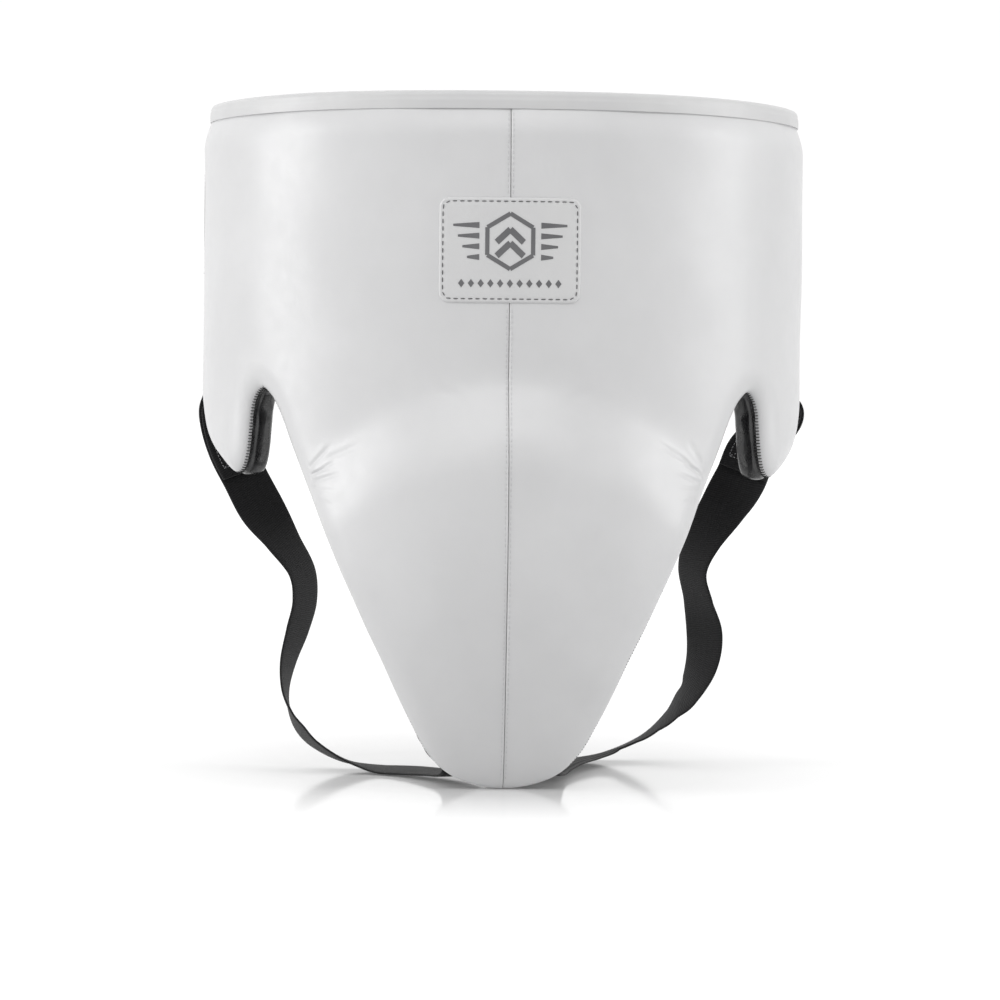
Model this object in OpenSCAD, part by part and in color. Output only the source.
// Groin protector for boxing: padded leather shield with a hard cup inside, two wings
// round the hips, black edge gusset, elastic leg straps and a hook-and-loop back closure.
// Millimetres, +Z up, the belly faces -Y, +X is to the right of a person facing it.
// The shell is one padded panel, described in the flat as a point (s, z): s is the distance
// round the waist from the centre seam, z the height. d is the depth behind the front face.

/* [Overall size] */
// full height, from the tip to the top of the binding
height = 382.5; // [360:0.5:400]
// half width of the belt, at the outside
half_width = 171; // [164:1:178]
// depth of the front of the belt, from the belly to its widest point
front_depth = 131; // [124:1:140]
// depth of the back of the belt, behind its widest point
rear_depth = 105; // [98:1:114]
// how far round the hips each wing reaches, in degrees from the centre seam
wing_end_turn = 118; // [114:1:120]

/* [Padding] */
// full thickness of the padded shell
shell_t = 26; // [24:0.5:30]
// thickness left at the leg openings
leg_edge_t = 14.5; // [13:0.5:16]
// thickness left at the waist rim and at the wing ends
rim_t = 7.5; // [7:0.5:9]
// width of the rolled edge
roll_w = 15; // [12:1:18]
// how far the front face drops at the leg openings
roll_drop = 6.5; // [5:0.5:7.5]
// how far the front face drops at the rim
rim_drop = 4; // [3:0.5:5]
// how far the rim dips at the hips
rim_dip = 3.5; // [1:0.5:5]
// leather thickness
leather_t = 1.3; // [1:0.1:1.3]
// lining thickness
lining_t = 1.1; // [0.9:0.1:1.2]
// gap left between layers that touch in the real thing
gap = 0.25; // [0.2:0.05:0.3]

/* [Cup] */
// height of the crease above the cup, on the centre seam
crease_top = 223; // [218:1:228]
// how far the crease falls towards the leg openings
crease_fall = 48; // [44:1:52]
// how far the cup stands out below the crease
cup_bulge = 19; // [14:1:22]
// height below which the shell sweeps back
sweep_top = 150; // [140:1:160]
// how far the tip is swept back
tip_sweep = 46; // [42:1:50]
// where the hard cup starts, as a share of the padding's depth
cup_from = 0.38; // [0.37:0.01:0.39]
// where the hard cup ends, as a share of the padding's depth
cup_to = 0.52; // [0.49:0.01:0.53]

/* [Leg openings] */
// height of the top of the notch between groin and wing
notch_top = 219; // [215:1:223]
// distance of the notch from the centre seam, along the belt
notch_s = 152.5; // [151:0.5:154]
// height of the bottom of the wing lobe
lobe_low = 171.5; // [168:0.5:175]
// height of the wing's bottom edge at the hip
hip_low = 209.5; // [206:0.5:213]

/* [Label] */
// label width
label_w = 77; // [65:1:80]
// label height
label_h = 57; // [50:1:60]
// height of the label's centre
label_z = 296; // [292:1:300]

/* [Elastic] */
// width of the leg straps
leg_strap_w = 30; // [26:1:30]
// thickness of the leg straps
leg_strap_t = 1.9; // [1.6:0.1:2.2]
// width of the waist elastic
band_w = 70; // [60:1:74]
// thickness of the waist elastic
band_t = 2; // [1.6:0.1:2.2]
// height of the middle of the waist elastic
band_z = 312; // [308:1:316]

/* [Hidden] */
front_y = -119;
A = half_width;
B = front_depth;
C = rear_depth;
rim_h = 8;

// ---- the belt in plan: half an ellipse in front, another behind ----
function plan(t) = [A * sin(t), cos(t) >= 0 ? B * (1 - cos(t)) : B - C * cos(t)];
turns = [for (t = [0:1:130]) t];
steps = [for (i = [1:130]) norm(plan(i) - plan(i - 1))];
function run(v, i = 0, a = 0) = i >= len(v) ? [a] : concat([a], run(v, i + 1, a + v[i]));
along = run(steps);
turn_at = [for (i = [0:130]) [along[i], turns[i]]];
dist_at = [for (i = [0:130]) [turns[i], along[i]]];
function turn(s) = lookup(abs(s), turn_at);
s_end = lookup(wing_end_turn, dist_at);
function sgn(s) = s < 0 ? -1 : 1;
// unit vector pointing into the padding
function inward(s) = let (t = turn(s), b = cos(t) >= 0 ? B : C,
    v = [-b * sin(t) * sgn(s), A * cos(t)]) [v[0], v[1], 0] / norm(v);

// ---- outline of one half, from the tip round the leg opening to the wing end ----
marks = [[-16, 2], [0, 0], [16, 2], [31, 8], [43.5, 20], [53, 36.5], [62, 54], [70.5, 71.5],
    [79.5, 88.5], [88.5, 106], [97.5, 123], [106.5, 141], [115, 159], [123, 175], [131, 191], [138.5, 206],
    [notch_s - 6.5, notch_top - 3.5], [notch_s + 1, notch_top + 0.5], [notch_s + 7.5, notch_top - 3.5],
    [notch_s + 11.5, notch_top - 11.5], [notch_s + 13, lobe_low + 26.5], [notch_s + 15, lobe_low + 14.5],
    [notch_s + 18, lobe_low + 6], [notch_s + 22, lobe_low + 1.5], [notch_s + 27, lobe_low + 0.5],
    [notch_s + 34, lobe_low + 3], [notch_s + 45, lobe_low + 8], [notch_s + 57, lobe_low + 13],
    [notch_s + 69, lobe_low + 19.5], [notch_s + 80, hip_low - 9.5], [notch_s + 91, hip_low - 3.5],
    [256, hip_low + 0.5], [s_end - 27, hip_low + 3],
    [s_end - 14, hip_low + 8.5], [s_end - 5, hip_low + 19], [s_end, hip_low + 34.5]];
function knot(a, b) = sqrt(norm(b - a));
function spline(p0, p1, p2, p3, u) = let (
    t1 = knot(p0, p1), t2 = t1 + knot(p1, p2), t3 = t2 + knot(p2, p3),
    t = t1 + (t2 - t1) * u,
    a1 = ((t1 - t) * p0 + t * p1) / t1,
    a2 = ((t2 - t) * p1 + (t - t1) * p2) / (t2 - t1),
    a3 = ((t3 - t) * p2 + (t - t2) * p3) / (t3 - t2),
    b1 = ((t2 - t) * a1 + t * a2) / t2,
    b2 = ((t3 - t) * a2 + (t - t1) * a3) / (t3 - t1))
    ((t2 - t) * b1 + (t - t1) * b2) / (t2 - t1);
function curve(p, n) = let (q = concat(p, [2 * p[len(p) - 1] - p[len(p) - 2]]))
    concat([for (i = [1:len(p) - 2]) for (k = [0:n - 1])
        spline(q[i - 1], q[i], q[i + 1], q[i + 2], k / n)], [p[len(p) - 1]]);
edge = curve(marks, 6);
n_edge = len(edge);
function low(s) = lookup(abs(s), edge);
// height of the outline moved r into the panel
function low_in(s, r) = max(low(s) + r, max([for (p = edge) for (k = [-1, 1])
    abs(k * p[0] - abs(s)) < r ? p[1] + sqrt(r * r - pow(k * p[0] - abs(s), 2)) : -1]));
end_r = 22;
function hi(s) = let (t = turn(s)) height - rim_h - rim_dip * (t > 90 ? 1 : pow(sin(t), 4));
function top(s) = let (u = abs(s) - (s_end - end_r))
    u <= 0 ? hi(s) : hi(s) - end_r + sqrt(max(0, end_r * end_r - u * u));
function crease(s) = crease_top - crease_fall * pow(s / 115, 2);
// distance of a point of the panel from the leg and bottom edge
thin_edge = [for (i = [0:3:n_edge - 1]) edge[i]];
function seg_d(p, a, b) = let (v = b - a, u = max(0, min(1, (p - a) * v / (v * v))))
    norm(p - a - u * v);
function edge_d(s, z) = min([for (i = [1:len(thin_edge) - 1])
    seg_d([abs(s), z], thin_edge[i - 1], thin_edge[i])]);
function rolled(e, drop) = e >= roll_w ? 0 : drop * (1 - sqrt(max(0, 1 - pow(1 - max(0, e) / roll_w, 2))));
function lack(e, w) = e >= w ? 0 : pow(1 - max(0, e) / w, 2);

// ---- front face, thickness and any point inside the shell ----
function face0(s, z) = let (p = plan(turn(s)), u = crease(s) - z,
    amp = cup_bulge * (1 - 0.55 * min(1, pow(s / 115, 2))),
    step = u <= 0 ? 0 : sin(90 * min(1, u / 48)),
    swept = z < sweep_top ? tip_sweep * pow((sweep_top - z) / 150, 2) : 0)
    [sgn(s) * p[0], front_y + p[1] - amp * step + swept, z];
function drop(s, z, e) = rolled(e, roll_drop) + rolled(top(s) - z, rim_drop)
    + rolled(s_end - abs(s), rim_drop);
function thick(s, z, e) = max(rim_t, shell_t - (shell_t - leg_edge_t) * lack(e, 30)
    - (shell_t - rim_t) * max(lack(top(s) - z, 34), lack(s_end - abs(s), 34)));
// point at depth d behind the front face; d below zero stands in front of it
function at(s, z, d) = let (e = edge_d(s, z)) face0(s, z) + inward(s) * (drop(s, z, e) + d);
// point at depth d behind the face the panel would have without its rolled edges
function under(s, z, d) = face0(s, z) + inward(s) * d;
// point at a share f of the core, which lies between leather and lining
core0 = leather_t + gap;
core1 = lining_t + gap;
function in_core(s, z, f) = let (e = edge_d(s, z), t = thick(s, z, e))
    face0(s, z) + inward(s) * (drop(s, z, e) + core0 + f * (t - core0 - core1));
function at_back(s, z, d) = let (e = edge_d(s, z))
    face0(s, z) + inward(s) * (drop(s, z, e) + thick(s, z, e) + d);

// ---- a curved slab between two faces given on the same grid ----
module slab(f, b) {
    nc = len(f);
    nr = len(f[0]);
    n = nc * nr;
    pts = concat([for (c = f) for (p = c) p], [for (c = b) for (p = c) p]);
    function id(i, j) = i * nr + j;
    faces = concat(
        [for (i = [0:nc - 2]) for (j = [0:nr - 2]) each [[id(i, j), id(i + 1, j + 1), id(i + 1, j)],
            [id(i, j), id(i, j + 1), id(i + 1, j + 1)]]],
        [for (i = [0:nc - 2]) for (j = [0:nr - 2]) each [
            [n + id(i, j), n + id(i + 1, j), n + id(i + 1, j + 1)],
            [n + id(i, j), n + id(i + 1, j + 1), n + id(i, j + 1)]]],
        [for (i = [0:nc - 2]) each [
            [id(i, 0), id(i + 1, 0), n + id(i + 1, 0)],
            [id(i, 0), n + id(i + 1, 0), n + id(i, 0)],
            [id(i, nr - 1), n + id(i + 1, nr - 1), id(i + 1, nr - 1)],
            [id(i, nr - 1), n + id(i, nr - 1), n + id(i + 1, nr - 1)]]],
        [for (j = [0:nr - 2]) each [
            [id(0, j), n + id(0, j + 1), id(0, j + 1)],
            [id(0, j), n + id(0, j), n + id(0, j + 1)],
            [id(nc - 1, j), id(nc - 1, j + 1), n + id(nc - 1, j + 1)],
            [id(nc - 1, j), n + id(nc - 1, j + 1), n + id(nc - 1, j)]]]);
    polyhedron(points = pts, faces = faces, convexity = 8);
}
// ---- a closed section carried along a path; every section has the same number of points ----
module sweep(secs) {
    ns = len(secs);
    m = len(secs[0]);
    pts = [for (c = secs) for (p = c) p];
    faces = concat(
        [for (i = [0:ns - 2]) for (j = [0:m - 1])
            let (k = (j + 1) % m, a = i * m, b = a + m) each j < m / 2
            ? [[a + j, b + j, b + k], [a + j, b + k, a + k]] : [[a + j, b + j, a + k],
            [b + j, b + k, a + k]]],
        [for (j = [1:m - 2]) [0, j, j + 1]],
        [for (j = [1:m - 2]) [(ns - 1) * m, (ns - 1) * m + j + 1, (ns - 1) * m + j]]);
    polyhedron(points = pts, faces = faces, convexity = 8);
}

// n steps from lo to hi, closer together towards both ends
function warped(n) = [for (k = [0:n]) let (u = k / n) u - 0.1 * sin(360 * u)];
function rows(lo, hi, n) = [for (w = warped(n)) lo + (hi - lo) * w];
function halved(v) = concat([for (i = [0:len(v) - 2]) each [v[i], (v[i] + v[i + 1]) / 2]], [v[len(v) - 1]]);
function flip(v) = [for (i = [len(v) - 1:-1:0]) v[i]];
function negate(v) = [for (x = flip(v)) -x];
function both(v) = concat(negate(v), [0], v);
function side(k, v) = k > 0 ? v : negate(v);
// grid columns, shared by every layer so that the layers never cross
groin_half = [11, 22, 33, 43.5, 54, 66, 79.5, 93, 105, 113];
wing_s = concat([118.4, 125, 132, 139],
    [for (o = [-6.5, 1, 7.5, 11.5, 13, 15, 18, 22, 27, 36, 48]) notch_s + o],
    [214, 230, 246, s_end - 28, s_end - 14, s_end - 5, s_end - 1.6]);
groin_s = both(groin_half);
belly_s = both(concat(groin_half, [118]));
foam_in = 1.2;
foam_lo = function (s) low_in(s, abs(s) < 25 ? foam_in : 2.2);
foam_hi = function (s) top(s) - foam_in;
belly_lo = function (s) max(crease(s) + 0.15, foam_lo(s));
groin_hi = function (s) crease(s) - 0.15;
n_groin = 11;
n_belly = 9;
n_wing = 10;

leather_s = concat([0.3], groin_half, [118], [for (i = [1:len(wing_s) - 1]) wing_s[i]], [s_end]);
function leather_rows(s) = concat([low(s)], s <= 118
    ? concat(rows(foam_lo(s), crease(s), n_groin),
        [for (i = [1:n_belly]) rows(max(crease(s), foam_lo(s)), foam_hi(s), n_belly)[i]])
    : halved(rows(foam_lo(s), foam_hi(s), n_wing)), [top(s)]);
module leather(k) {
    g = [for (s = leather_s) [for (z = leather_rows(s)) [k * s, z]]];
    f = [for (c = g) [for (p = c) at(p[0], p[1], 0)]];
    b = [for (c = g) [for (p = c) at(p[0], p[1], leather_t)]];
    if (k > 0) slab(f, b); else slab(b, f);
}
function sheet_at(ss, lo, hi, n) = [for (s = ss) [for (z = rows(lo(s), hi(s), n)) [s, z]]];
module core_block(ss, lo, hi, f0, f1, n) {
    g = sheet_at(ss, lo, hi, n);
    slab([for (c = g) [for (p = c) in_core(p[0], p[1], f0)]],
        [for (c = g) [for (p = c) in_core(p[0], p[1], f1)]]);
}
// the lining lies on the same grid as the foam behind it; only its first and last rows reach further
module back_block(ss, lo, hi, n, d0, d1, lo2, hi2) {
    g = [for (s = ss) let (r = rows(lo(s), hi(s), n))
        [for (j = [0:n]) [s, j == 0 ? lo2(s) : j == n ? hi2(s) : r[j]]]];
    slab([for (c = g) [for (p = c) at_back(p[0], p[1], d0)]],
        [for (c = g) [for (p = c) at_back(p[0], p[1], d1)]]);
}

module leather_left() color([0.93, 0.93, 0.93]) leather(-1);
module leather_right() color([0.93, 0.93, 0.93]) leather(1);
module foam_belly() color([0.85, 0.85, 0.8])
    core_block(belly_s, belly_lo, foam_hi, 0, 1, n_belly);
module foam_wing_left() color([0.85, 0.85, 0.8])
    core_block(side(-1, wing_s), foam_lo, foam_hi, 0.07, 1, n_wing);
module foam_wing_right() color([0.85, 0.85, 0.8])
    core_block(wing_s, foam_lo, foam_hi, 0.07, 1, n_wing);
module foam_groin_front() color([0.85, 0.85, 0.8])
    core_block(groin_s, foam_lo, groin_hi, 0.03, 0.3, n_groin);
module foam_groin_back() color([0.85, 0.85, 0.8])
    core_block(groin_s, foam_lo, groin_hi, 0.6, 1, n_groin);
cup_s = both([10, 20, 30, 40, 50, 60, 70, 77]);
function cup_low(s) = low_in(s, 19);
function cup_hi(s) = crease(s) - 22 - 0.2 * abs(s);
module hard_cup() color([0.2, 0.2, 0.22])
    core_block(cup_s, function (s) cup_low(s), function (s) cup_hi(s), cup_from, cup_to, 8);

// a path of panel points with the unit vector into the panel at each
function way(p) = [for (i = [0:len(p) - 1])
    let (a = p[max(0, i - 1)], b = p[min(len(p) - 1, i + 1)], v = (b - a) / norm(b - a))
    [p[i], [-v[1], v[0]]]];
// strip of padding between the two foams of the groin, round the cup
ring_path = [for (i = [0:4:n_edge - 1]) if (edge[i][0] < 106) edge[i]];
module cup_bed() color([0.8, 0.8, 0.75]) {
    w = way(concat([for (i = [len(ring_path) - 1:-1:1]) [-ring_path[i][0], ring_path[i][1]]], ring_path));
    sweep([for (q = flip(w)) let (a = q[0] + 2 * q[1], b = q[0] + 14 * q[1])
        [in_core(a[0], a[1], cup_from - 0.03), in_core(b[0], b[1], cup_from - 0.03),
        in_core(b[0], b[1], cup_to + 0.01), in_core(a[0], a[1], cup_to + 0.01)]]);
}
module cup_rim() color([0.12, 0.12, 0.12]) {
    w = way([for (s = cup_s) [s, cup_low(s)]]);
    sweep([for (q = flip(w)) let (a = q[0] - 3.4 * q[1], b = q[0] - 0.4 * q[1])
        [in_core(a[0], a[1], cup_from - 0.02), in_core(b[0], b[1], cup_from - 0.02),
        in_core(b[0], b[1], cup_to + 0.02), in_core(a[0], a[1], cup_to + 0.02)]]);
}

// ---- lining ----
lin_lo = function (s) low_in(s, 0.2);
lin_hi = function (s) top(s) - 0.4;
lin_belly_lo = function (s) max(crease(s) + 0.15, low_in(s, 0.2));
module lining_belly() color([0.13, 0.13, 0.14])
    back_block(belly_s, belly_lo, foam_hi, n_belly, -lining_t, 0, lin_belly_lo, lin_hi);
module lining_groin() color([0.13, 0.13, 0.14])
    back_block(groin_s, foam_lo, groin_hi, n_groin, -lining_t, 0, lin_lo, groin_hi);
module lining_wing(k) back_block(side(k, wing_s), foam_lo, foam_hi, n_wing, -lining_t, 0, lin_lo, lin_hi);
module lining_wing_left() color([0.13, 0.13, 0.14]) lining_wing(-1);
module lining_wing_right() color([0.13, 0.13, 0.14]) lining_wing(1);

// ---- gusset: the black strip that closes the leg opening and the wing's bottom edge ----
gus_path = [for (i = [0:2:n_edge - 1]) if (edge[i][1] < hip_low + 30 || edge[i][0] < 200) edge[i]];
module gusset(k) {
    w = way(gus_path);
    secs = [for (i = [0:len(w) - 1]) let (q = w[i], a = i == 0 ? [0.15, 0] : q[0],
        b = a + 0.95 * (i == 0 ? [0, 1] : q[1]),
        eb = edge_d(b[0], b[1]), d0 = drop(a[0], a[1], 0) + leather_t + 2.4 * gap,
        d1 = drop(b[0], b[1], eb) + thick(b[0], b[1], eb) - lining_t - 2 * gap)
        [under(k * a[0], a[1], d0), under(k * b[0], b[1], d0),
        under(k * b[0], b[1], d1), under(k * a[0], a[1], d1)]];
    sweep(k > 0 ? flip(secs) : secs);
}
module gusset_left() color([0.07, 0.07, 0.07]) gusset(-1);
module gusset_right() color([0.07, 0.07, 0.07]) gusset(1);

// ---- binding over the waist rim and down both wing ends ----
end_low = low(s_end) + 4;
half_rim = concat([for (s = [0:13:s_end - end_r - 6]) [s, hi(s)]],
    [for (a = [90:-15:0]) [s_end - end_r + end_r * cos(a), hi(s_end) - end_r + end_r * sin(a)]],
    [for (k = [1:6]) [s_end, hi(s_end) - end_r + (end_low - hi(s_end) + end_r) * k / 6]]);
rim_path = concat([for (i = [len(half_rim) - 1:-1:1]) [-half_rim[i][0], half_rim[i][1]]], half_rim);
module rim_binding() color([0.95, 0.95, 0.95]) {
    w = way(rim_path);
    sec = [[-0.9, 0.25], [-1.2, 3.8], [0.3, 7], [3.4, rim_h],
        [rim_t - 0.3, 7], [rim_t + 1.2, 3.8], [rim_t + 0.9, 0.25]];
    sweep([for (q = flip(w)) [for (c = sec) let (p = q[0] + c[1] * q[1]) rim_at(q[0], p, c[0])]]);
}
// a point beyond the rim: the face of the rim point, moved in the panel's own plane
function rim_at(q, p, d) = let (o = face0(q[0], q[1]), n = inward(q[0]),
    g = [n[1], -n[0], 0]) [o[0], o[1], p[1]] + g * (p[0] - q[0]) + n * (rim_drop + d);

// ---- label ----
label_r = 5.5;
function label_half(s) = let (u = abs(s) - (label_w / 2 - label_r))
    label_h / 2 - (u <= 0 ? 0 : label_r - sqrt(max(0, label_r * label_r - u * u)));
module label_patch() color([0.9, 0.9, 0.9]) {
    w = label_w / 2;
    r = label_r;
    cols = [-w, -w + 0.8, -w + 2.4, -w + r, -20, -10, 0, 10, 20, w - r, w - 2.4, w - 0.8, w];
    g = [for (s = cols) [for (z = rows(label_z - label_half(s), label_z + label_half(s), 4)) [s, z]]];
    slab([for (c = g) [for (p = c) at(p[0], p[1], -1.5)]],
        [for (c = g) [for (p = c) at(p[0], p[1], -gap)]]);
}

// ---- leg straps: [x, y, z] of the middle line and the direction across the strap, station by
// station, y from the belly. They leave the back of the wings, hang in a slack bow to the ground
// and come up behind the tip. ----
strap_tip = [[18, 49, 9, 1, 0, 0], [17.2, 42.8, 19.5, 1, 0, 0], [17, 38.6, 31, 1, 0, 0],
    [17, 33.1, 44, 1, 0.05, 0]];
function mirrored(v) = [for (q = v) [-q[0], q[1], q[2], q[3], -q[4], -q[5]]];
left_way = concat([[-165, 162.5, 248, 0.446, 0.895, 0], [-165, 162.5, 230, 0.446, 0.895, 0],
    [-165, 162, 212, 0.45, 0.89, 0], [-163, 157, 198.5, 0.7, 0.71, 0], [-155.5, 150, 182, 0.88, 0.46, 0.1],
    [-146.5, 145, 165, 0.85, 0.5, 0.2], [-137, 140, 148, 0.78, 0.52, 0.33],
    [-125, 135, 130.5, 0.5, 0.8, 0.33],
    [-114, 131, 113.5, 0.45, 0.88, 0.15], [-112, 128, 96.5, 0.44, 0.9, 0],
    [-116, 126, 79.5, 0.4, 0.91, -0.1],
    [-121, 125, 62, 0.28, 0.96, -0.08], [-122.5, 124, 46, 0.1, 0.99, 0], [-119.5, 123, 33, -0.1, 0.99, 0],
    [-113.5, 122, 23, -0.2, 0.97, -0.12], [-104, 120, 14, -0.1, 0.97, -0.18],
    [-89, 118, 6.2, 0, 0.98, -0.14],
    [-69, 113, 2, 0.1, 1, 0.02], [-49, 101, 2, 0.45, 0.89, 0.04], [-33, 82, 2.8, 0.75, 0.66, 0],
    [-22, 61, 4.5, 0.95, 0.3, 0]], mirrored(strap_tip));
right_way = concat([[165, 162.5, 248, 0.446, -0.895, 0], [165, 162.5, 230, 0.446, -0.895, 0],
    [165, 162, 212, 0.45, -0.89, 0], [164, 156.5, 200, 0.7, -0.71, 0], [147, 150, 185, 0.87, -0.22, -0.42],
    [139, 145, 168, 0.85, -0.14, -0.5], [128.5, 141, 151, 0.7, -0.53, -0.45],
    [117, 137, 133, 0.55, -0.75, -0.34],
    [111.3, 136, 115.5, 0.47, -0.87, -0.1], [115, 138, 98, 0.46, -0.88, 0.1],
    [119, 142, 80.5, 0.61, -0.79, 0.05],
    [118, 148, 62.5, 0.53, -0.83, -0.1], [111.5, 156, 44.5, 0.28, -0.94, -0.17],
    [105, 162, 35, 0.13, -0.98, -0.12],
    [97.5, 168, 25.5, 0.05, -1, 0], [85, 175, 14.5, 0.05, -0.98, 0.1], [67, 176, 6, 0.2, -0.97, 0.15],
    [50, 160, 3.3, 0.6, -0.77, 0.12], [37, 134, 3, 0.85, -0.5, 0.1], [28, 106, 2.6, 0.95, -0.3, 0.07],
    [21.5, 76, 3.4, 1, -0.15, 0]], strap_tip);
function smooth_at(v, u) = let (n = len(v), i = min(n - 2, floor(u)), f = u - i, a = v[i], b = v[i + 1],
    m = i > 0 ? v[i - 1] : 2 * a - b, c = i < n - 2 ? v[i + 2] : 2 * b - a)
    0.5 * (2 * a + (b - m) * f + (2 * m - 5 * a + 4 * b - c) * f * f + (3 * a - m - 3 * b + c) * f * f * f);
function head(q) = [q[0], q[1] + front_y, q[2]];
function across(q) = [q[3], q[4], q[5]];
function unit(v) = v / norm(v);
// section of a flat strap at station u: half width w, from o1 to o2 along the strap's own normal
function strap_sec(v, u, w, o1, o2) = let (q = smooth_at(v, u), h = 0.05, n = len(v) - 1,
    t = unit(head(smooth_at(v, min(n, u + h))) - head(smooth_at(v, max(0, u - h)))),
    a0 = across(q), a = unit(a0 - (a0 * t) * t), k = cross(t, a), c = head(q))
    [c - w * a + o1 * k, c + w * a + o1 * k, c + w * a + o2 * k, c - w * a + o2 * k];
module strap(v) {
    n = len(v) - 1;
    sweep([for (u = [0:0.34:n]) strap_sec(v, u, leg_strap_w / 2, -leg_strap_t / 2, leg_strap_t / 2)]);
}
module leg_strap_left() color([0.1, 0.1, 0.1]) strap(left_way);
module leg_strap_right() color([0.1, 0.1, 0.1]) strap(right_way);
// doubled strap end, box-stitched to the strap's inner face just below the wing
module strap_tab(v) {
    o = leg_strap_t / 2 + gap;
    sweep([for (u = [2.72:0.34:4.8]) strap_sec(v, u, leg_strap_w / 2 - 0.4, o, o + leg_strap_t)]);
}
module strap_tab_left() color([0.08, 0.08, 0.08]) strap_tab(left_way);
module strap_tab_right() color([0.08, 0.08, 0.08]) strap_tab(right_way);
// patch over both strap ends, at the back of the tip
module crotch_patch() color([0.09, 0.09, 0.09]) {
    g = [for (s = both([12, 24, 36])) [for (z = [25:6:49]) [s, z]]];
    slab([for (c = g) [for (p = c) at_back(p[0], p[1], 4.4)]],
        [for (c = g) [for (p = c) at_back(p[0], p[1], 5.7)]]);
}

// ---- back closure: two waist elastics and a hook tab, on one circle that carries the wings on ----
end_in = inward(s_end);
end_p = plan(wing_end_turn);
back_r = -end_p[0] / end_in[0];
back_y = front_y + end_p[1] + end_in[1] * back_r;
end_a = atan2(-end_in[1], -end_in[0]);
function arc_deg(mm) = mm / back_r * 180 / PI;
stub = arc_deg(8);
joint_gap = arc_deg(2.6);
pad_t = 1.4;
lay = 0.2;
lift = band_t + lay + pad_t + 0.3 + pad_t + lay;
function on_arc(a, r, z) = [r * cos(a), back_y + r * sin(a), z];
function flat_sec(p, q, w) = [for (c = [[p, -1], [q, -1], [q, 1], [p, 1]])
    [c[0][0], c[0][1], band_z + c[1] * w / 2]];
module anchor() {
    r0 = back_r + 0.3;
    sweep(flip(concat(
        [for (s = [s_end - 40:8:s_end - 8]) let (o = face0(s, band_z), n = inward(s)) flat_sec(o - 0.3 * n,
            o - (0.3 + band_t) * n, band_w)],
        [for (k = [0:2]) let (a = end_a + stub * k / 2)
            flat_sec(on_arc(a, r0, 0), on_arc(a, r0 + band_t, 0), band_w)])));
}
module arc_strip(a0, a1, n, r0, t, w) {
    sweep(flip([for (k = [0:n]) let (a = a0 + (a1 - a0) * k / n, r = r0(a))
        flat_sec(on_arc(a, r, 0), on_arc(a, r + t, 0), w)]));
}
// eased rise from the wing's radius to the top of the hook-and-loop stack
function rise(a) = let (u = max(0, min(1, (a - end_a - 6) / 26))) back_r + 0.3 + lift * u * u * (3 - 2 * u);
level = function (a) back_r + 0.3;
a_first = end_a + stub + joint_gap;
module elastic_anchor_right() color([0.11, 0.11, 0.11]) anchor();
module elastic_anchor_left() color([0.11, 0.11, 0.11]) mirror([1, 0, 0]) anchor();
module waist_elastic_right() color([0.1, 0.1, 0.1])
    arc_strip(a_first, 87.1, 14, function (a) rise(a), band_t, band_w);
module waist_elastic_left() color([0.1, 0.1, 0.1]) mirror([1, 0, 0])
    arc_strip(a_first, 96, 16, level, band_t, band_w);
module loop_pad() color([0.16, 0.16, 0.16]) mirror([1, 0, 0])
    arc_strip(60, 94.5, 12, function (a) back_r + 0.3 + band_t + lay, pad_t, band_w - 6);
module hook_patch() color([0.05, 0.05, 0.05]) mirror([1, 0, 0])
    arc_strip(62, 90, 10, function (a) back_r + 0.3 + lift - lay - pad_t, pad_t, band_w - 12);
module hook_tab() color([0.08, 0.08, 0.08]) mirror([1, 0, 0])
    arc_strip(60, 91.75, 12, function (a) back_r + 0.3 + lift, band_t, band_w - 4);
module tab_pull() color([0.9, 0.9, 0.9]) mirror([1, 0, 0])
    arc_strip(59, 66, 4, function (a) back_r + 0.3 + lift + band_t + lay, 1.6, band_w - 20);

leather_left();
leather_right();
foam_belly();
foam_wing_left();
foam_wing_right();
foam_groin_front();
foam_groin_back();
cup_bed();
hard_cup();
cup_rim();
lining_belly();
lining_groin();
lining_wing_left();
lining_wing_right();
gusset_left();
gusset_right();
rim_binding();
label_patch();
leg_strap_left();
leg_strap_right();
strap_tab_left();
strap_tab_right();
crotch_patch();
elastic_anchor_left();
elastic_anchor_right();
waist_elastic_left();
waist_elastic_right();
loop_pad();
hook_tab();
hook_patch();
tab_pull();
